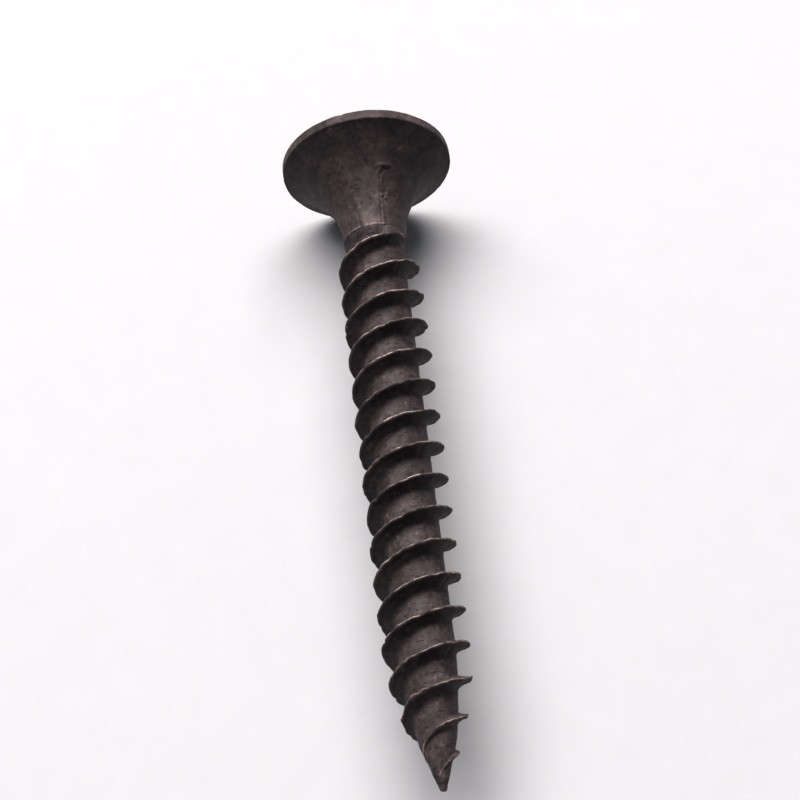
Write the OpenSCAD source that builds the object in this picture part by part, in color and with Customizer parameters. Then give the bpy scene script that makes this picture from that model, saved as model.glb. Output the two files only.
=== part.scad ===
// Bugle-head screw with a twin thread, lying along X.
// The flat face of the head is at x = 0 and looks along +X. The tip points along -X.
// Every part is drawn upright along Z, then laid down as a whole.

/* [Size] */
// Length from the face of the head to the tip
screw_l = 32; // [28:1:50]
// Diameter over the thread crests
crest_d = 3.8; // [3.5:0.1:4.2]
// Diameter of the round core between the threads
core_d = 2.48; // [2.2:0.02:2.6]
// Diameter of the plain neck under the head
neck_d = 2.96; // [2.8:0.02:3.2]

/* [Head] */
// Diameter of the head
head_d = 8; // [7.4:0.1:9]
// Length of the head, from its face to the start of the neck
head_l = 4.7; // [4.2:0.1:5.4]
// Thickness of the rim at the edge of the head
rim_t = 0.5; // [0.3:0.02:0.6]
// Width of the bevel between the face and the rim
face_bevel = 0.08; // [0.05:0.01:0.2]

/* [Driver recess] */
// Distance across two opposite wings of the cross, at the face
recess_w = 4.4; // [3.8:0.1:4.8]
// Width of one wing at the face
wing_w = 1.16; // [0.9:0.02:1.3]
// Depth of the wings
recess_depth = 2.3; // [1.8:0.1:2.6]

/* [Neck] */
// Length of the taper from the neck down to the core
neck_l = 2.5; // [1.6:0.1:3]

/* [Thread] */
// Distance between neighbouring crests
pitch = 1.6; // [1.4:0.05:1.8]
// Width of the narrow flat along a crest
crest_w = 0.1; // [0.06:0.01:0.14]
// Slope of the flank that faces the tip, measured from square to the axis
tip_flank = 31; // [25:1:35]
// Slope of the flank that faces the head, measured from square to the axis
head_flank = 18; // [12:1:24]

/* [Point] */
// Length of the whole tapering point
point_l = 6.8; // [6:0.1:8]
// Length of the straight cone at the very end
cone_l = 2.1; // [1.8:0.1:2.4]
// Slope of that cone from the axis
cone_angle = 17.4; // [16:0.1:19]
// Radius of the blunt tip
tip_r = 0.12; // [0.08:0.01:0.16]

/* [Hidden] */

finish = "#3b3433";
bare_edge = "#57493f";

// Two ridges wind side by side, so each one climbs two pitches in a turn.
starts = 2;

head_r = head_d / 2;
neck_r = neck_d / 2;
core_r = core_d / 2;
crest_r = crest_d / 2;
cone_r = tip_r + cone_l * tan(cone_angle);
core_end = screw_l - head_l - neck_l;
lead = starts * pitch;

// The trumpet under the head is one arc that leaves the neck along the axis.
flare_l = head_l - rim_t;
flare_w = head_r - neck_r;
flare_r = (flare_l * flare_l + flare_w * flare_w) / (2 * flare_w);
flare_angle = asin(flare_l / flare_r);
flare_steps = 18;

// Bottom of the cross recess.
recess_floor_w = 1.5;
wing_floor_w = 0.72;
pilot_r = 0.98;
pilot_floor_r = 0.4;
pilot_extra = 0.35;
pilot_depth = recess_depth + pilot_extra;
overcut = 0.3;

// The first ridge starts closer to the tip than the second, and both run out where the head starts.
first_start = 0.6;
second_start = 1.5;
ridge_rise = 7.2;
rise_power = 2.2;
fade_l = 0.9;
ridge_margin = 0.1;
ridge_end = screw_l - head_l - ridge_margin;
ridge_min = 0.03;
ridge_gap = 0.003;
section_n = 5;
turn_steps = 36;
step_angle = 360 / turn_steps;
step_l = lead / turn_steps;
crest_phase = 270;

round_fn = 96;
point_steps = 14;

// Radius of the round shank at a distance from the tip.
function point_r(d) = core_r - (core_r - cone_r) * pow((point_l - d) / (point_l - cone_l), 2);
function taper_r(d) = core_r + (neck_r - core_r) * (d - core_end) / neck_l;
function shank_r(d) =
    d < cone_l ? tip_r + d * tan(cone_angle)
    : d < point_l ? point_r(d)
    : d < core_end ? core_r
    : min(neck_r, taper_r(d));

// Share of its full height that a ridge has at a distance from the tip.
function smooth(t) =
    let (c = min(1, max(0, t)))
    c * c * (3 - 2 * c);
function entry(d, start) = smooth((d - start) / start);
function rise(d) = 1 - pow(max(0, 1 - (d - first_start) / ridge_rise), rise_power);
function fade(d) = smooth((ridge_end - d) / fade_l);
function ridge_h(d, start) =
    let (full = crest_r - shank_r(max(d, point_l)))
    max(ridge_min, full * entry(d, start) * rise(d) * fade(d));

// One cross-section of a ridge as [radius, height above the tip] pairs.
// The base stands just clear of the core at the middle of each flat facet.
function base_r(d) = shank_r(d) / cos(step_angle / 2) + ridge_gap;
function section(d, start) =
    let (
        h = ridge_h(d, start),
        top = shank_r(d) + ridge_gap + h,
        up = crest_w / 2 + h * tan(head_flank),
        down = crest_w / 2 + h * tan(tip_flank)
    )
    [
        [base_r(d - down), d - down],
        [base_r(d), d],
        [base_r(d + up), d + up],
        [top, d + crest_w / 2],
        [top, d - crest_w / 2]
    ];

function ridge_steps(start) = floor((ridge_end - start) / step_l);
function ridge_points(phase, start) = [
    for (i = [0:ridge_steps(start)])
        let (d = start + i * step_l, a = phase + crest_phase + 360 * d / lead)
        for (p = section(d, start)) [p[0] * cos(a), p[0] * sin(a), p[1]]
];

// Two triangles close each side of each step. A fan from the middle of the base closes each end.
function side_faces(steps) = [
    for (i = [0:steps - 1])
        for (j = [0:section_n - 1])
            let (
                a = i * section_n + j,
                b = i * section_n + (j + 1) % section_n,
                c = b + section_n,
                e = a + section_n
            )
            for (t = [[a, c, b], [a, e, c]]) t
];
function end_faces(steps) =
    let (last = steps * section_n)
    [
        for (j = [2:section_n - 1])
            let (k = (j + 1) % section_n)
            for (t = [[1, j, k], [last + 1, last + k, last + j]]) t
    ];

module lay_down() {
    rotate([0, 90, 0]) children();
}

module from_tip() {
    lay_down() translate([0, 0, -screw_l]) children();
}

module wing(turn) {
    rotate(turn) hull() {
        translate([-recess_w / 2, -wing_w / 2, 0])
            cube([recess_w, wing_w, overcut]);
        translate([-recess_floor_w / 2, -wing_floor_w / 2, -recess_depth])
            cube([recess_floor_w, wing_floor_w, overcut]);
    }
}

module recess() {
    wing(0);
    wing(90);
    translate([0, 0, -pilot_depth])
        cylinder(r1 = pilot_floor_r, r2 = pilot_r, h = pilot_depth + overcut, $fn = round_fn);
}

module bugle_head() {
    flare = [
        for (i = [0:flare_steps])
            let (a = flare_angle * (1 - i / flare_steps))
            [neck_r + flare_r * (1 - cos(a)), flare_r * sin(a) - head_l]
    ];
    face = [[0, 0], [head_r - face_bevel, 0], [head_r, -face_bevel]];
    color(finish) lay_down() difference() {
        rotate_extrude($fn = round_fn) polygon(concat(face, flare, [[0, -head_l]]));
        recess();
    }
}

module neck() {
    color(finish) from_tip() translate([0, 0, core_end])
        cylinder(r1 = core_r, r2 = neck_r, h = neck_l, $fn = round_fn);
}

module core() {
    color(finish) from_tip() translate([0, 0, point_l])
        cylinder(r = core_r, h = core_end - point_l, $fn = round_fn);
}

module ridge(phase, start) {
    steps = ridge_steps(start);
    faces = concat(side_faces(steps), end_faces(steps));
    color(bare_edge) from_tip() polyhedron(points = ridge_points(phase, start), faces = faces);
}

module first_thread() {
    ridge(0, first_start);
}

module second_thread() {
    ridge(360 / starts, second_start);
}

module point() {
    taper = [
        for (i = [0:point_steps])
            let (d = cone_l + (point_l - cone_l) * i / point_steps)
            [shank_r(d), d]
    ];
    color(finish) from_tip()
        rotate_extrude($fn = round_fn) polygon(concat([[0, 0], [tip_r, 0]], taper, [[0, point_l]]));
}

bugle_head();
neck();
core();
first_thread();
second_thread();
point();
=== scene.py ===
"""Looks of a black phosphated bugle-head screw with a twin thread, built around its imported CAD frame.

The screw lies along X: the face of its head is at x = 0, and its tip points along -X.
Shapes are worked out in millimetres and turned into metres when a mesh is made. Along the shank a
place is given by d, its distance from the tip.
"""

import math

import bpy
import numpy as np
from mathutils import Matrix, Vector


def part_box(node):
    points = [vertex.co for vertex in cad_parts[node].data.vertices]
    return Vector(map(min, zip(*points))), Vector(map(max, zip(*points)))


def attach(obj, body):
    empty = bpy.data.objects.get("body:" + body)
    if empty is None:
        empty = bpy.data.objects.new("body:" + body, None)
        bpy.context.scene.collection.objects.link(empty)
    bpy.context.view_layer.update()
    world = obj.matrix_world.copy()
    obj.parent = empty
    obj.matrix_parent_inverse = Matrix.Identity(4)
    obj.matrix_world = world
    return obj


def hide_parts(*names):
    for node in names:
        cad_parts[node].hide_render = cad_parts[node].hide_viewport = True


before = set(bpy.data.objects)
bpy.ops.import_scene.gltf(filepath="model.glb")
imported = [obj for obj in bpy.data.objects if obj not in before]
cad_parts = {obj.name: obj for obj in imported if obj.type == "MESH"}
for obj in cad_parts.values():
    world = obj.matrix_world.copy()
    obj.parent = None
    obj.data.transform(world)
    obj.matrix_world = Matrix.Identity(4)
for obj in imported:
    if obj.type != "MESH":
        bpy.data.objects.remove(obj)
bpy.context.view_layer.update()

MM = 0.001
BODY = "root"


def node_size(node):
    """Length along X and radius of a CAD node, in millimetres."""
    low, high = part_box(node)
    return (high.x - low.x) / MM, high.y / MM


# Sizes that the frame gives.
HEAD_L, HEAD_R = node_size("bugle_head")
NECK_L, NECK_R = node_size("neck")
CORE_L, CORE_R = node_size("core")
POINT_L, _ = node_size("point")
_, CREST_R = node_size("first_thread")
SCREW_L = HEAD_L + NECK_L + CORE_L + POINT_L
CORE_END = POINT_L + CORE_L
NECK_END = CORE_END + NECK_L

# Head and cross recess.
RIM_T = 0.5
RIM_ROUND = 0.08
WING_REACH = 2.2
WING_HALF = 0.58
WING_FLOOR_REACH = 0.75
WING_FLOOR_HALF = 0.36
PILOT_R = 0.98
PILOT_FLOOR_R = 0.5
RECESS_DEPTH = 2.3
PILOT_DEPTH = 2.65
MOUTH_ROUND = 0.06
MOUTH_RINGS = 5
CORNER_SHARPNESS = 14.0

# Marks of the heading die on the trumpet. Turns are in degrees from straight up towards -Y.
PANEL_LEFT = -35
PANEL_RIGHT = 13
PANEL_H = 0.034
BACK_PANEL_LEFT = -170
BACK_PANEL_RIGHT = -112
BACK_PANEL_H = 0.016
SEAM_TURN = 15.5
SEAM_HALF = 2.2
SEAM_H = 0.04

# Raised and sunk spots that the die left: place along X, turn, half length, half width in degrees,
# and height.
DIE_SPOTS = [
    (-1.95, 17, 0.08, 8, 0.08),
    (-2.12, 12, 0.10, 2.5, 0.05),
    (-3.05, 20, 0.09, 4, -0.05),
    (-3.25, 15, 0.07, 3, 0.07),
    (-3.35, 21, 0.06, 3, 0.05),
    (-4.3, 17, 0.08, 3, 0.05),
    (-4.35, -33, 0.3, 4, 0.05),
    (-3.3, -27, 0.2, 2, 0.03),
    (-2.45, -34, 0.16, 3, -0.04),
    (-2.9, 160, 0.12, 5, 0.05),
    (-2.2, -120, 0.1, 6, 0.05),
]

# Point.
TIP_R = 0.12
CONE_L = 2.1
CONE_SLOPE = math.tan(math.radians(17.4))
CONE_R = TIP_R + CONE_L * CONE_SLOPE

# Thread. The rolled surface is a little thicker near the neck, and the blank above it was never rolled.
# Each side of a crest has its half width and the depth of its rounding.
PITCH = 1.6
LEAD = 2 * PITCH
TIP_SIDE = (0.13, 0.2)
HEAD_SIDE = (0.06, 0.08)
TIP_FLANK = math.radians(27)
HEAD_FLANK = math.radians(18)
TIP_FILLET = 0.24
HEAD_FILLET = 0.12
ROOT_SINK = 0.05
RIDGE_START = 0.6
SECOND_START = 1.5
RIDGE_RISE = 7.2
RISE_POWER = 2.2
FADE_L = 0.75
RIDGE_END = NECK_END - 0.06
CREST_PHASE = math.radians(270)
ROLLED_EXTRA = 0.03
LIP_L = 0.42
GROOVE_END = math.radians(8)
GROOVE_CLOSING = math.radians(14)
LEAST_H = 0.012
NICKS = 34
BURRS = 26

# Wear and painted light, from 0 on the full coat to 1 on bare steel. Below 0 is painted shade: the colour
# goes to the darkest coat colour.
# Painted shade inside the cross recess, standing in for the shade where light doesn't reach.
RECESS_PAINTED_SHADE = -0.8
MOUTH_WEAR = 0.15
RIM_WEAR = 0.08
# Painted highlight on the flat upper panel of the trumpet and neck.
PANEL_PAINTED_HIGHLIGHT = 0.14
LIP_WEAR = 0.5
TIP_WEAR = 0.5

# Fineness of the meshes.
HEAD_SIDES = 480
SHANK_SIDES = 208
RIDGE_STEPS_PER_TURN = 240
RING_GAP = 0.045


# ---------------------------------------------------------------- noise and relief


def waves(points, wavelength, seed, count=28):
    """Smooth noise of about -1 to 1 at each point: a sum of plane waves in seeded directions."""
    rng = np.random.default_rng(seed)
    directions = rng.normal(size=(count, 3))
    directions /= np.linalg.norm(directions, axis=1)[:, None]
    lengths = wavelength * rng.uniform(0.6, 1.6, count)
    phases = rng.uniform(0, 2 * math.pi, count)
    angles = points @ (directions / lengths[:, None]).T * 2 * math.pi + phases
    return np.sin(angles).sum(axis=1) / math.sqrt(count)


def streaks(points, width, length, seed):
    """Noise drawn out along the axis, as a forming die leaves it."""
    squeezed = points * np.array([width / length, 1, 1])
    return waves(squeezed, width, seed)


def dents(points, centres, radii, depths):
    """Total depth of round dents at each point."""
    total = np.zeros(len(points))
    for centre, radius, depth in zip(centres, radii, depths):
        gap = ((points - centre) ** 2).sum(axis=1) / radius**2
        total += depth * np.exp(-gap)
    return total


def scattered_dents(points, count, seed, spots=None):
    """Small dents at seeded vertices of a piece, or at seeded vertices among the given spots."""
    rng = np.random.default_rng(seed)
    spots = points if spots is None else spots
    centres = spots[rng.integers(0, len(spots), count)]
    return dents(points, centres, rng.uniform(0.04, 0.11, count), rng.uniform(0.012, 0.04, count))


def smooth(t):
    """0 to 1 with flat ends."""
    t = np.clip(t, 0, 1)
    return t * t * (3 - 2 * t)


# ---------------------------------------------------------------- outline of the screw


def shank_radius(d):
    """Radius of the bare shank at distance d from the tip."""
    cone = TIP_R + d * CONE_SLOPE
    ogive = CORE_R - (CORE_R - CONE_R) * ((POINT_L - d) / (POINT_L - CONE_L)) ** 2
    taper = CORE_R + ROLLED_EXTRA * smooth((d - CORE_END) / NECK_L)
    return np.select([d < CONE_L, d < POINT_L], [cone, ogive], taper)


def ridge_height(d, start):
    """Height of a ridge above the shank: it rises from near the tip and runs out at the neck."""
    entry = smooth((d - start) / start)
    rise = 1 - np.clip(1 - (d - RIDGE_START) / RIDGE_RISE, 0, 1) ** RISE_POWER
    fade = smooth((RIDGE_END - d) / FADE_L)
    full = CREST_R - shank_radius(np.maximum(d, POINT_L))
    return full * entry * rise * fade


# ---------------------------------------------------------------- mesh building


def ring_faces(rings, sides):
    """Quads between neighbouring closed rings of vertices."""
    ring = np.arange(rings - 1)[:, None] * sides
    here = np.arange(sides)[None, :]
    after = (here + 1) % sides
    quads = [ring + here, ring + after, ring + sides + after, ring + sides + here]
    return np.stack(quads, axis=-1).reshape(-1, 4).tolist()


def fan_faces(ring_first, sides, hub, flip):
    """Triangles from one ring to a hub vertex."""
    fan = []
    for i in range(sides):
        a = ring_first + i
        b = ring_first + (i + 1) % sides
        fan.append((b, a, hub) if flip else (a, b, hub))
    return fan


def make_piece(name, points, faces, wear_and_painted_light, relief):
    """A mesh object from millimetre points, with its wear and painted light stored per vertex and its
    relief applied.
    """
    mesh = bpy.data.meshes.new(name)
    mesh.from_pydata((points * MM).tolist(), [], faces)
    mesh.update()
    normals = np.empty(len(points) * 3, np.float32)
    mesh.vertices.foreach_get("normal", normals)
    moved = points + normals.reshape(-1, 3) * relief(points)[:, None]
    mesh.vertices.foreach_set("co", (moved * MM).astype(np.float32).ravel())
    mesh.polygons.foreach_set("use_smooth", [True] * len(mesh.polygons))
    mesh.set_sharp_from_angle(angle=math.radians(48))
    layer = mesh.attributes.new("wear_and_painted_light", "FLOAT", "POINT")
    layer.data.foreach_set("value", wear_and_painted_light.astype(np.float32))
    mesh.update()
    piece = bpy.data.objects.new(name, mesh)
    bpy.context.scene.collection.objects.link(piece)
    return piece


def place(piece, node, material):
    """Puts a piece on the screw's body in place of its CAD node."""
    piece.data.materials.append(material)
    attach(piece, BODY)
    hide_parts(node)


def turned(name, x, radius, wear_and_painted_light, relief):
    """A closed turned solid about the X axis, from ring places x and radii, tip side first."""
    sides = SHANK_SIDES
    angle = np.arange(sides) * 2 * math.pi / sides
    rings = len(x)
    points = np.empty((rings, sides, 3))
    points[..., 0] = x[:, None]
    points[..., 1] = radius[:, None] * np.cos(angle)
    points[..., 2] = radius[:, None] * np.sin(angle)
    hubs = np.array([[x[0], 0, 0], [x[-1], 0, 0]])
    points = np.concatenate([points.reshape(-1, 3), hubs])
    hub = rings * sides
    faces = ring_faces(rings, sides)
    faces += fan_faces(0, sides, hub, True)
    faces += fan_faces((rings - 1) * sides, sides, hub + 1, False)
    return make_piece(name, points, faces, wear_and_painted_light(points), relief)


# ---------------------------------------------------------------- pieces of the shank


def turn_of(points):
    """Angle of each point around the axis, from straight up towards -Y."""
    return np.arctan2(-points[:, 1], points[:, 2])


def unworn(points):
    """No wear anywhere."""
    return np.zeros(len(points))


def shank_relief(points):
    """Rolled surface of the shank: faint waviness, and laps that run round it."""
    relief = 0.006 * waves(points, 0.9, seed=11)
    relief += 0.003 * waves(points, 0.25, seed=12)
    lap = waves(points * np.array([4.5, 1, 1]), 0.7, seed=13)
    relief -= 0.014 * smooth((lap - 1.1) / 0.5)
    return relief


def make_core():
    """The round rod between the ridges."""
    rings = int(CORE_L / RING_GAP) + 1
    d = np.linspace(POINT_L, CORE_END, rings)

    def relief(points):
        return shank_relief(points) - scattered_dents(points, 150, seed=21)

    return turned("core_rod", d - SCREW_L, shank_radius(d), unworn, relief)


def crest_top():
    """Distance from the tip of the last crest on the upper side of the screw."""
    highest = SCREW_L - CREST_PHASE / (2 * math.pi) * LEAD
    return highest - math.ceil((highest - NECK_END) / PITCH) * PITCH


def turn_before_run_out(turn):
    """The turn of a point, counted in the half turn before the ridge beside it runs out at the neck."""
    run_out = (NECK_END - crest_top()) * 2 * math.pi / LEAD
    return (turn - run_out) % math.pi - math.pi + run_out


def groove_share(turn):
    """1 where a rolled groove lies above the last crest, and 0 where the neck was left unrolled."""
    return 1 - smooth((turn_before_run_out(turn) - GROOVE_END) / GROOVE_CLOSING)


def blank_share(points):
    """How much of the unrolled blank is left on the neck: 1 above the last crest past the groove."""
    d = points[:, 0] + SCREW_L
    turn = turn_of(points)
    last_crest = crest_top() + turn_before_run_out(turn) * LEAD / (2 * math.pi)
    above_crest = smooth((d - last_crest) / 0.12)
    lip = np.clip((d - NECK_END + LIP_L) / LIP_L, 0, 1)
    return np.maximum(above_crest * (1 - groove_share(turn)), lip)


def make_neck():
    """The end of the rolled shank, with the lip and the unrolled blank that stand proud of it."""
    rings = int(NECK_L / RING_GAP) + 1
    d = np.linspace(CORE_END, NECK_END, rings)

    def relief(points):
        blank = blank_share(points)
        growth = (NECK_R - shank_radius(points[:, 0] + SCREW_L)) * blank
        return growth + shank_relief(points) * (1 - blank) + head_relief(points) * blank

    def wear_and_painted_light(points):
        return panel_painted_highlight(points) * blank_share(points)

    return turned("neck_taper", d - SCREW_L, shank_radius(d), wear_and_painted_light, relief)


def make_point():
    """The point: a rounded nose, a cone and a curve into the core."""
    nose_turn = np.linspace(0.12, 1, 9) * math.pi / 2
    nose_d = TIP_R * (1 - np.cos(nose_turn))
    nose_r = (TIP_R + nose_d[-1] * CONE_SLOPE) * np.sin(nose_turn)
    rings = int(POINT_L / RING_GAP)
    body_d = np.linspace(nose_d[-1], POINT_L, rings)[1:]
    d = np.concatenate([nose_d, body_d])
    radius = np.concatenate([nose_r, shank_radius(body_d)])

    def wear_and_painted_light(points):
        return TIP_WEAR * smooth(1 - (points[:, 0] + SCREW_L) / 0.5)

    def relief(points):
        return shank_relief(points) - scattered_dents(points, 50, seed=23)

    return turned("gimlet_point", d - SCREW_L, radius, wear_and_painted_light, relief)


# ---------------------------------------------------------------- ridges


def flank(height, slope, fillet, crest_side):
    """Points from the root to the middle of the crest on one side, as (along the axis, above the core).

    An arc leaves the core along its surface and runs into the straight flank, and the crest is round."""
    half, rounding = crest_side
    turn = np.linspace(0, 1, 6)[None, :] * (math.pi / 2 - slope)
    shoulder = np.minimum(rounding, height * 0.4)
    foot_h = fillet * (1 - math.sin(slope))
    foot = half + math.tan(slope) * (height - shoulder - foot_h) + fillet * math.cos(slope)
    arc_x = foot[:, None] - fillet[:, None] * np.sin(turn)
    arc_h = fillet[:, None] * (1 - np.cos(turn))
    share = np.linspace(0, 1, 4)[None, 1:]
    line_h = foot_h[:, None] + (height - shoulder - foot_h)[:, None] * share
    line_x = half + math.tan(slope) * ((height - shoulder)[:, None] - line_h)
    round_turn = np.linspace(0, 1, 6)[None, 1:-1] * math.pi / 2
    round_x = np.repeat(half * np.cos(round_turn), len(height), axis=0)
    round_h = height[:, None] - shoulder[:, None] * (1 - np.sin(round_turn))
    sunk_x = foot[:, None]
    sunk_h = np.full_like(sunk_x, -ROOT_SINK)
    along = np.concatenate([sunk_x, arc_x, line_x, round_x], axis=1)
    above = np.concatenate([sunk_h, arc_h, line_h, round_h], axis=1)
    return along, above


def bumps(places, centres, widths, heights):
    """Sum of bell-shaped bumps at places along a line."""
    total = np.zeros_like(places)
    for centre, width, height in zip(centres, widths, heights):
        total += height * np.exp(-(((places - centre) / width) ** 2))
    return total


def crest_wobble(d, seed):
    """Uneven crest, per step: height changes with nicks and burrs, and a sideways lean.

    It is more ragged close to the neck and close to the tip."""
    rng = np.random.default_rng(seed)
    arc = np.arange(len(d)) * 2 * math.pi * CREST_R / RIDGE_STEPS_PER_TURN
    line = np.stack([arc, np.zeros_like(arc), np.zeros_like(arc)], axis=1)
    waver = 0.018 * waves(line, 1.8, seed + 1) + 0.012 * waves(line, 0.6, seed + 2)
    nick_at = rng.uniform(0, arc[-1], NICKS)
    nicks = bumps(arc, nick_at, rng.uniform(0.07, 0.2, NICKS), rng.uniform(0.02, 0.07, NICKS))
    burr_at = rng.uniform(0, arc[-1], BURRS)
    burr_w = rng.uniform(0.06, 0.14, BURRS)
    burrs = bumps(arc, burr_at, burr_w, rng.uniform(0.3, 1, BURRS))
    lean = 0.02 * waves(line, 1.4, seed + 3) + 0.016 * waves(line, 0.45, seed + 4) + 0.035 * burrs
    near_neck = smooth((d - NECK_END + 0.9) / 0.3)
    near_tip = smooth((5.2 - d) / 1.5)
    ragged = 1 + 0.5 * near_neck + 0.9 * near_tip
    return (waver - np.minimum(nicks, 0.09) + 0.02 * burrs) * ragged, lean * ragged


def ridge_sections(d, start, seed):
    """Cross-section at each step of a ridge, from its foot towards the tip over the crest to the other.

    Gives each point's distance from the tip of the screw and its height above the shank."""
    height = np.maximum(ridge_height(d, start), LEAST_H)
    uneven, lean = crest_wobble(d, seed)
    share = smooth(height / 0.4)
    height = height + uneven * share
    down_x, down_h = flank(height, TIP_FLANK, np.minimum(TIP_FILLET, height * 0.6), TIP_SIDE)
    up_x, up_h = flank(height, HEAD_FLANK, np.minimum(HEAD_FILLET, height * 0.6), HEAD_SIDE)
    along = np.concatenate([-down_x, np.zeros((len(d), 1)), up_x[:, ::-1]], axis=1)
    above = np.concatenate([down_h, height[:, None], up_h[:, ::-1]], axis=1)
    near_crest = above / height[:, None]
    along = along + (lean * share)[:, None] * np.clip(near_crest, 0, 1) ** 4
    return d[:, None] + along, above


def make_ridge(name, phase, start, seed):
    """One of the two ridges, from its start near the tip to the neck."""
    steps = int((RIDGE_END - start) / LEAD * RIDGE_STEPS_PER_TURN) + 1
    d = np.linspace(start, RIDGE_END, steps)
    angle = phase + CREST_PHASE + (d - SCREW_L) * 2 * math.pi / LEAD
    at, above = ridge_sections(d, start, seed)
    radius = shank_radius(np.clip(at, 0, NECK_END)) + above
    points = np.empty(at.shape + (3,))
    points[..., 0] = at - SCREW_L
    points[..., 1] = -radius * np.sin(angle)[:, None]
    points[..., 2] = radius * np.cos(angle)[:, None]
    sides = at.shape[1]
    faces = [face[::-1] for face in ring_faces(steps, sides)]
    faces.append(list(range(sides)))
    faces.append(list(range((steps - 1) * sides, steps * sides))[::-1])
    # Bare steel rubbed along the crest, which also paints a highlight on the crest line.
    from_crest = np.abs(np.arange(sides) - sides // 2)
    wear_and_painted_light = np.tile(smooth(1 - from_crest / 1.3), steps)

    def relief(flat_points):
        return 0.003 * waves(flat_points, 0.5, seed + 5)

    return make_piece(name, points.reshape(-1, 3), faces, wear_and_painted_light, relief)


# ---------------------------------------------------------------- head


def cross_radius(angle, grow, depth_share):
    """Distance from the axis to the wall of the cross recess, at each angle.

    grow widens the cross all round, and depth_share runs from 0 at the face to 1 at the floor."""
    reach = WING_REACH + (WING_FLOOR_REACH - WING_REACH) * depth_share + grow
    half = WING_HALF + (WING_FLOOR_HALF - WING_HALF) * depth_share + grow
    pilot = PILOT_R + (PILOT_FLOOR_R - PILOT_R) * depth_share + grow
    c = np.maximum(np.abs(np.cos(angle)), 1e-6)
    s = np.maximum(np.abs(np.sin(angle)), 1e-6)
    across = np.minimum(reach / c, half / s)
    upright = np.minimum(reach / s, half / c)
    shapes = np.stack([across, upright, np.full_like(angle, pilot)])
    return np.log(np.exp(CORNER_SHARPNESS * shapes).sum(axis=0)) / CORNER_SHARPNESS


def recess_rings(angle):
    """Rings (x, radius per angle) from the bottom of the recess up to its mouth."""
    rings = []
    floor = cross_radius(angle, 0, 1)
    for share in np.linspace(0.08, 0.96, 10):
        drop = (PILOT_DEPTH - RECESS_DEPTH) * smooth((0.75 - share) / 0.5)
        rings.append((-RECESS_DEPTH - drop, floor * share))
    for share in np.linspace(1, 0, 26):
        x = -MOUTH_ROUND - (RECESS_DEPTH - MOUTH_ROUND) * share
        rings.append((x, cross_radius(angle, 0, share)))
    for turn in np.linspace(0, 1, MOUTH_RINGS + 1)[1:] * math.pi / 2:
        grow = MOUTH_ROUND * (1 - math.cos(turn))
        x = -MOUTH_ROUND * (1 - math.sin(turn))
        rings.append((x, cross_radius(angle, grow, 0)))
    return rings


def face_rings(angle):
    """Rings of the flat face, from the mouth of the recess out to the rim."""
    mouth = cross_radius(angle, MOUTH_ROUND, 0)
    border_r = HEAD_R - RIM_ROUND
    rings = []
    for share in np.linspace(0, 1, 36)[1:]:
        rings.append((0.0, mouth + (border_r - mouth) * share))
    return rings


def rim_rings(angle):
    """Rings of the rim: a round edge, a narrow cylinder and another round edge."""
    rings = []
    for turn in np.linspace(0, 1, 8)[1:] * math.pi / 2:
        radius = HEAD_R - RIM_ROUND * (1 - math.sin(turn))
        rings.append((-RIM_ROUND * (1 - math.cos(turn)), np.full_like(angle, radius)))
    low = RIM_T - RIM_ROUND
    for share in np.linspace(0, 1, 6)[1:]:
        rings.append((-RIM_ROUND - (low - RIM_ROUND) * share, np.full_like(angle, HEAD_R)))
    for turn in np.linspace(0, 1, 6)[1:-1] * math.pi / 2:
        radius = HEAD_R - RIM_ROUND * (1 - math.cos(turn))
        rings.append((-low - RIM_ROUND * math.sin(turn), np.full_like(angle, radius)))
    return rings


def flare_rings(angle):
    """Rings of the trumpet: one arc that meets the neck along the axis."""
    length = HEAD_L - RIM_T
    width = HEAD_R - RIM_ROUND - NECK_R
    arc_r = (length**2 + width**2) / (2 * width)
    widest = math.asin(length / arc_r)
    rings = []
    for share in np.linspace(1, 0, 84):
        turn = widest * share
        radius = NECK_R + arc_r * (1 - math.cos(turn))
        rings.append((arc_r * math.sin(turn) - HEAD_L, np.full_like(angle, radius)))
    return rings


def upper_panel(points):
    """1 on the panel that the two halves of the heading die left on the upper side, and 0 off it."""
    turn = np.degrees(turn_of(points))
    slant = 6 * (points[:, 0] + 3.3)
    return smooth((turn - PANEL_LEFT + slant) / 6) * smooth((PANEL_RIGHT - turn) / 4)


def panel_painted_highlight(points):
    """Painted highlight on the upper panel, a lighter tone for the light its flat face catches, which
    fades out up the trumpet.
    """
    return PANEL_PAINTED_HIGHLIGHT * upper_panel(points) * smooth((-points[:, 0] - 2.6) / 1.2)


def die_marks(points):
    """Marks of the heading die on the trumpet: proud panels, a broken seam with a fold, and pits."""
    turn = np.degrees(turn_of(points))
    reach = smooth((-points[:, 0] - 1.9) / 0.5)
    panel = upper_panel(points)
    broken = 0.7 + 0.6 * waves(points, 0.45, seed=36)
    seam = np.exp(-(((turn - SEAM_TURN) / SEAM_HALF) ** 2)) * broken
    back_panel = smooth((turn - BACK_PANEL_LEFT) / 3) * smooth((BACK_PANEL_RIGHT - turn) / 3)
    marks = reach * (PANEL_H * panel + SEAM_H * seam + BACK_PANEL_H * back_panel)
    for x, at, length, width, height in DIE_SPOTS:
        gap = ((points[:, 0] - x) / length) ** 2 + ((turn - at) / width) ** 2
        marks += height * np.exp(-(gap**2))
    return marks


def head_relief(points):
    """Cold-headed surface: faint waviness all over, with die marks and streaks under the head."""
    under = smooth(-points[:, 0] / 0.8)
    relief = 0.006 * waves(points, 1.4, seed=31)
    relief += 0.0025 * waves(points, 0.3, seed=32)
    relief += under * 0.002 * streaks(points, 0.26, 3.0, seed=33)
    return relief + die_marks(points)


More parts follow.
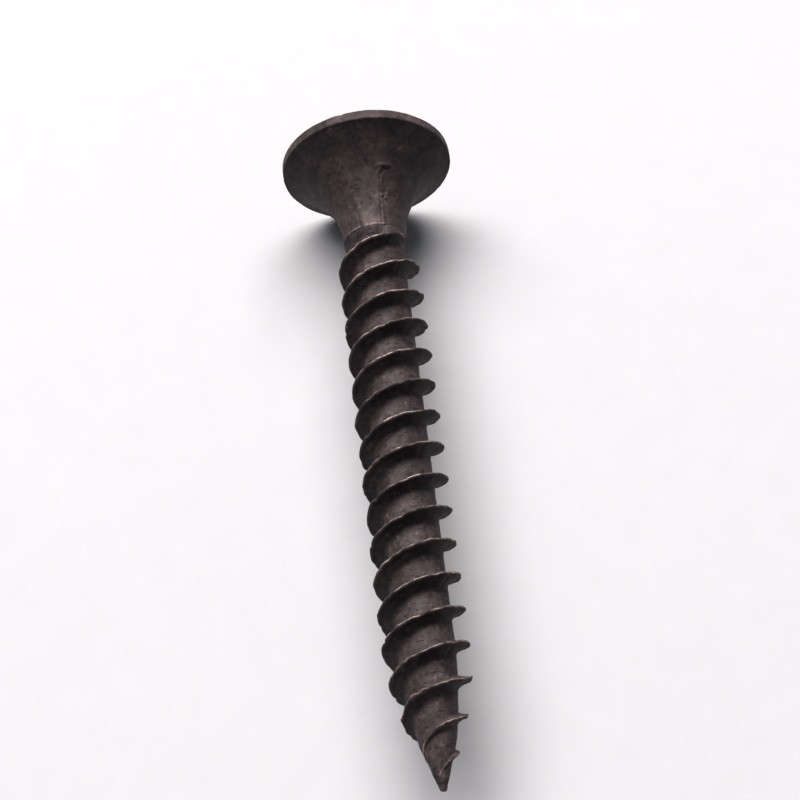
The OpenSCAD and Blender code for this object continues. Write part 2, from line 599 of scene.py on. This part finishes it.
def head_painted_light_and_wear(points, rings, mouth, rim_start, rim_end):
    """Wear and painted light of the head: painted shade in the recess, rubbed round its mouth, on the rim
    and at the neck, and a painted highlight on the upper panel.

    The points are the rings followed by two hubs. The last rings at the neck are only worn beside the
    rolled groove."""
    wear_and_painted_light = np.zeros(rings)
    # Painted shade down the recess walls and floor.
    wear_and_painted_light[: mouth - MOUTH_RINGS - 1] = RECESS_PAINTED_SHADE
    wear_and_painted_light[mouth - 3 : mouth + 1] = MOUTH_WEAR
    wear_and_painted_light[rim_start : rim_end - 2] = RIM_WEAR
    wear_and_painted_light[-2:] = LIP_WEAR
    worn_and_painted_light = np.repeat(wear_and_painted_light, HEAD_SIDES).reshape(-1, HEAD_SIDES)
    last_ring = points[-HEAD_SIDES - 2 : -2]
    worn_and_painted_light[-2:] *= groove_share(turn_of(last_ring))
    return np.append(worn_and_painted_light, [RECESS_PAINTED_SHADE, 0]) + panel_painted_highlight(points)


def make_head():
    """The head as one closed surface, from the bottom of the recess over the face and rim to the neck."""
    angle = np.arange(HEAD_SIDES) * 2 * math.pi / HEAD_SIDES
    rings = recess_rings(angle)
    mouth = len(rings)
    rings += face_rings(angle)
    rim_start = len(rings)
    rings += rim_rings(angle)
    rim_end = len(rings)
    rings += flare_rings(angle)
    points = np.empty((len(rings), HEAD_SIDES, 3))
    for ring, (x, radius) in zip(points, rings):
        ring[:, 0] = x
        ring[:, 1] = radius * np.cos(angle)
        ring[:, 2] = radius * np.sin(angle)
    hubs = np.array([[-PILOT_DEPTH, 0, 0], [-HEAD_L, 0, 0]])
    points = np.concatenate([points.reshape(-1, 3), hubs])
    hub = len(rings) * HEAD_SIDES
    faces = [f[::-1] for f in ring_faces(len(rings), HEAD_SIDES)]
    faces += fan_faces(0, HEAD_SIDES, hub, False)
    faces += fan_faces(hub - HEAD_SIDES, HEAD_SIDES, hub + 1, True)
    wear_and_painted_light = head_painted_light_and_wear(points, len(rings), mouth, rim_start, rim_end)

    def relief(flat_points):
        outside = flat_points[mouth * HEAD_SIDES : hub]
        return head_relief(flat_points) - scattered_dents(flat_points, 170, seed=34, spots=outside)

    return make_piece("head_forging", points, faces, wear_and_painted_light, relief)


# ---------------------------------------------------------------- materials


def new_material(name):
    """An empty node material and its Principled shader."""
    material = bpy.data.materials.new(name)
    material.use_nodes = True
    nodes = material.node_tree.nodes
    shader = nodes["Principled BSDF"]
    return material, material.node_tree, shader


def noise_node(tree, vector, size_mm, detail, roughness=0.55):
    """A noise texture whose features are about size_mm across."""
    node = tree.nodes.new("ShaderNodeTexNoise")
    node.inputs["Scale"].default_value = 1 / (size_mm * MM)
    node.inputs["Detail"].default_value = detail
    node.inputs["Roughness"].default_value = roughness
    tree.links.new(vector, node.inputs["Vector"])
    return node


def ramp_node(tree, source, stops):
    """A colour ramp over a value; stops are (position, colour)."""
    ramp = tree.nodes.new("ShaderNodeValToRGB")
    elements = ramp.color_ramp.elements
    while len(elements) < len(stops):
        elements.new(0.5)
    for element, (position, colour) in zip(elements, stops):
        element.position = position
        element.color = (*colour, 1)
    tree.links.new(source, ramp.inputs["Fac"])
    return ramp


def value_ramp(tree, source, *stops):
    """A value that follows the source; stops are (position, value)."""
    greys = [(position, (value,) * 3) for position, value in stops]
    return ramp_node(tree, source, greys).outputs["Color"]


def math_node(tree, operation, a, b):
    """A math node over two sockets or numbers."""
    node = tree.nodes.new("ShaderNodeMath")
    node.operation = operation
    node.use_clamp = operation != "ADD"
    for socket, value in zip(node.inputs, (a, b)):
        if isinstance(value, (int, float)):
            socket.default_value = value
        else:
            tree.links.new(value, socket)
    return node.outputs[0]


def mix_colour(tree, share, a, b):
    """A colour between two colour sockets or colours."""
    node = tree.nodes.new("ShaderNodeMix")
    node.data_type = "RGBA"
    tree.links.new(share, node.inputs["Factor"])
    for name, value in (("A", a), ("B", b)):
        socket = next(s for s in node.inputs if s.name == name and s.type == "RGBA")
        if isinstance(value, tuple):
            socket.default_value = (*value, 1)
        else:
            tree.links.new(value, socket)
    return next(s for s in node.outputs if s.type == "RGBA")


def stretched(tree, at, along):
    """Coordinates scaled along the axis, which draws the noise out or squeezes it."""
    mapping = tree.nodes.new("ShaderNodeMapping")
    mapping.vector_type = "POINT"
    mapping.inputs["Scale"].default_value = (along, 1, 1)
    tree.links.new(at, mapping.inputs["Vector"])
    return mapping.outputs["Vector"]


def dark_marks(tree, at, stretch):
    """0.3 to 1: low in drawn-out dark laps and in small pits."""
    laps = noise_node(tree, stretched(tree, at, stretch), 0.45, 3, 0.6)
    pits = noise_node(tree, at, 0.16, 1, 0.5)
    lap = value_ramp(tree, laps.outputs["Fac"], (0.33, 0.3), (0.39, 1.0))
    pit = value_ramp(tree, pits.outputs["Fac"], (0.24, 0.3), (0.29, 1.0))
    return math_node(tree, "MINIMUM", lap, pit)


def wear_and_highlight_share(tree, wear_and_painted_light, blotch, mottle):
    """How far the colour goes to the worn colour: in broken stretches where the coat is worn and where a
    highlight is painted, and in a few specks.
    """
    stretches = value_ramp(tree, blotch, (0.42, 0.05), (0.60, 1.0))
    broken = value_ramp(tree, mottle, (0.36, 0.25), (0.58, 1.0))
    specks = value_ramp(tree, mottle, (0.66, 0.0), (0.74, 0.22))
    share = math_node(tree, "MULTIPLY", wear_and_painted_light, stretches)
    share = math_node(tree, "MULTIPLY", share, broken)
    return math_node(tree, "MAXIMUM", share, specks)


def coat_colour(tree, shades, blotch, mottle, grain):
    """Colour of the coat where it isn't worn: coarse, middle and fine mottling added up."""
    mix = math_node(tree, "MULTIPLY", blotch, 0.36)
    mix = math_node(tree, "ADD", mix, math_node(tree, "MULTIPLY", mottle, 0.35))
    mix = math_node(tree, "ADD", mix, math_node(tree, "MULTIPLY", grain, 0.29))
    return ramp_node(tree, mix, list(zip((0.38, 0.48, 0.57, 0.68), shades))).outputs["Color"]


def bump_node(tree, height, depth_mm, under=None):
    """A bump of the given depth, on top of another bump if there is one."""
    node = tree.nodes.new("ShaderNodeBump")
    node.inputs["Strength"].default_value = 0.8
    node.inputs["Distance"].default_value = depth_mm * MM
    tree.links.new(height, node.inputs["Height"])
    if under:
        tree.links.new(under.outputs["Normal"], node.inputs["Normal"])
    return node


def coat_normal(tree, grain, mottle, marks):
    """Relief of the coat that is too fine for the mesh: its grain, its mottling and the dark marks."""
    fine = bump_node(tree, grain, 0.010)
    coarse = bump_node(tree, mottle, 0.024, fine)
    return bump_node(tree, marks, 0.03, coarse).outputs["Normal"]


def phosphate(name, shades, worn_and_painted_light, mark_stretch):
    """Crystalline phosphate on steel: mottled, finely grained and rubbed lighter where it is worn.

    mark_stretch above 1 draws the dark marks round the screw, and below 1 along it. Where the wear
    attribute is below zero the colour is painted shade, taken to the darkest shade, and the upper panel
    and the crests carry painted highlights."""
    material, tree, shader = new_material(name)
    at = tree.nodes.new("ShaderNodeTexCoord").outputs["Object"]
    attribute = tree.nodes.new("ShaderNodeAttribute")
    attribute.attribute_name = "wear_and_painted_light"
    wear_and_painted_light = attribute.outputs["Fac"]
    blotch = noise_node(tree, at, 0.8, 4).outputs["Fac"]
    mottle = noise_node(tree, at, 0.24, 4, 0.6).outputs["Fac"]
    grain = noise_node(tree, at, 0.035, 3, 0.7).outputs["Fac"]
    marks = dark_marks(tree, at, mark_stretch)
    share = wear_and_highlight_share(tree, wear_and_painted_light, blotch, mottle)

    coat = coat_colour(tree, shades, blotch, mottle, grain)
    colour = mix_colour(tree, marks, shades[0], coat)
    # Painted shade: where the wear attribute is below zero, as in the recess, the colour goes to the
    # darkest shade.
    colour = mix_colour(tree, math_node(tree, "MULTIPLY", wear_and_painted_light, -1), colour, shades[0])
    colour = mix_colour(tree, share, colour, worn_and_painted_light)
    rough = value_ramp(tree, mottle, (0.3, 0.55), (0.7, 0.72))
    rough = math_node(tree, "SUBTRACT", rough, math_node(tree, "MULTIPLY", share, 0.2))
    tree.links.new(colour, shader.inputs["Base Color"])
    tree.links.new(rough, shader.inputs["Roughness"])
    tree.links.new(math_node(tree, "MULTIPLY", share, 0.5), shader.inputs["Metallic"])
    tree.links.new(coat_normal(tree, grain, mottle, marks), shader.inputs["Normal"])
    shader.inputs["Specular IOR Level"].default_value = 0.22
    return material


def floor_material():
    """Plain pale card with a very faint tooth, which fades into the white surround far from the screw."""
    material, tree, shader = new_material("white_card")
    spot = tree.nodes.new("ShaderNodeTexCoord")
    tooth = noise_node(tree, spot.outputs["Object"], 1.5, 4)
    shades = [(0.3, (0.425, 0.425, 0.435)), (0.7, (0.435, 0.435, 0.445))]
    tone = ramp_node(tree, tooth.outputs["Fac"], shades)
    tree.links.new(tone.outputs["Color"], shader.inputs["Base Color"])
    shader.inputs["Roughness"].default_value = 0.8
    shader.inputs["Specular IOR Level"].default_value = 0.15
    reach = tree.nodes.new("ShaderNodeVectorMath")
    reach.operation = "LENGTH"
    tree.links.new(spot.outputs["Object"], reach.inputs[0])
    fade = value_ramp(tree, reach.outputs["Value"], (0.07, 1.0), (0.19, 0.0))
    tree.links.new(fade, shader.inputs["Alpha"])
    return material


# ---------------------------------------------------------------- the studio


def make_floor():
    """A wide flat floor that the rim of the head rests on."""
    half = 0.2
    z = -HEAD_R * MM
    mesh = bpy.data.meshes.new("floor")
    corners = [(-half, -half, z), (half, -half, z), (half, half, z), (-half, half, z)]
    mesh.from_pydata(corners, [], [(0, 1, 2, 3)])
    mesh.materials.append(floor_material())
    floor = bpy.data.objects.new("floor", mesh)
    bpy.context.scene.collection.objects.link(floor)


def make_light(name, direction, distance, height, width, watts, colour):
    """A soft box that faces the middle of the screw, with its width across the screw."""
    lamp = bpy.data.lights.new(name, "AREA")
    lamp.shape = "RECTANGLE"
    lamp.size = width
    lamp.size_y = height
    lamp.energy = watts
    lamp.color = colour
    light = bpy.data.objects.new(name, lamp)
    aim = Vector((-SCREW_L / 2 * MM, 0, 0))
    away = Vector(direction).normalized()
    light.location = aim + away * distance
    light.rotation_mode = "QUATERNION"
    light.rotation_quaternion = away.to_track_quat("Z", "Y")
    bpy.context.scene.collection.objects.link(light)


def make_world():
    """A white surround for the camera that lights the scene only faintly."""
    world = bpy.data.worlds.new("studio")
    bpy.context.scene.world = world
    world.use_nodes = True
    tree = world.node_tree
    seen = tree.nodes.new("ShaderNodeBackground")
    seen.inputs["Color"].default_value = (1, 1, 1, 1)
    seen.inputs["Strength"].default_value = 1.0
    faint = tree.nodes["Background"]
    faint.inputs["Color"].default_value = (0.88, 0.95, 1, 1)
    faint.inputs["Strength"].default_value = 0.19
    path = tree.nodes.new("ShaderNodeLightPath")
    mix = tree.nodes.new("ShaderNodeMixShader")
    tree.links.new(path.outputs["Is Camera Ray"], mix.inputs["Fac"])
    tree.links.new(faint.outputs["Background"], mix.inputs[1])
    tree.links.new(seen.outputs["Background"], mix.inputs[2])
    tree.links.new(mix.outputs["Shader"], tree.nodes["World Output"].inputs["Surface"])


def make_camera():
    """A long lens from above the tip, a little to one side, fitted to the screw in the photograph.

    The distance and the aim are in millimetres."""
    elevation = math.radians(59.04)
    swing = math.radians(6.125)
    distance = 101.93
    aim = Vector((-13.366, -0.208, 0)) * MM
    back = Vector((
        -math.cos(elevation) * math.cos(swing),
        math.cos(elevation) * math.sin(swing),
        math.sin(elevation),
    ))
    data = bpy.data.cameras.new("camera")
    data.sensor_width = 36
    data.lens = 102.43
    data.clip_start = 0.002
    camera = bpy.data.objects.new("camera", data)
    camera.location = aim + back * distance * MM
    camera.rotation_mode = "QUATERNION"
    camera.rotation_quaternion = (-back).to_track_quat("-Z", "Y")
    bpy.context.scene.collection.objects.link(camera)
    bpy.context.scene.camera = camera


make_camera()
make_world()
make_floor()
make_light(
    "key", (0.55, 0.12, 0.83), distance=0.5, height=0.3, width=0.6, watts=6.0, colour=(1, 0.94, 0.935)
)
make_light(
    "top", (0.2, 0.3, 0.93), distance=0.6, height=0.5, width=0.5, watts=0.7, colour=(0.93, 0.98, 1)
)
bpy.context.scene.view_settings.view_transform = "Standard"
bpy.context.scene.view_settings.look = "Medium High Contrast"

# Colours of the coat from its darkest to its palest patches, and of the steel where it is rubbed.
head_shades = [
    (0.022, 0.0175, 0.0185),
    (0.037, 0.0285, 0.0295),
    (0.057, 0.0430, 0.0430),
    (0.110, 0.0800, 0.0750),
]
shank_shades = [
    (0.016, 0.0125, 0.0135),
    (0.036, 0.0275, 0.0285),
    (0.066, 0.0500, 0.0500),
    (0.140, 0.1030, 0.0940),
]
# The rubbed colour also paints a highlight on the upper panel of the head and neck.
rubbed_and_highlight = (0.30, 0.23, 0.195)
# Worn steel on the crests, which also paints a highlight along the crest line.
bare_crest_and_highlight = (0.44, 0.34, 0.30)
head_coat = phosphate("phosphate_head", head_shades, rubbed_and_highlight, mark_stretch=0.5)
shank_coat = phosphate("phosphate_shank", shank_shades, rubbed_and_highlight, mark_stretch=3.5)
thread_coat = phosphate("phosphate_thread", head_shades, bare_crest_and_highlight, mark_stretch=1.0)

place(make_head(), "bugle_head", head_coat)
place(make_neck(), "neck", shank_coat)
place(make_core(), "core", shank_coat)
place(make_point(), "point", shank_coat)
first_ridge = make_ridge("first_ridge", 0, RIDGE_START, seed=101)
second_ridge = make_ridge("second_ridge", math.pi, SECOND_START, seed=202)
place(first_ridge, "first_thread", thread_coat)
place(second_ridge, "second_thread", thread_coat)
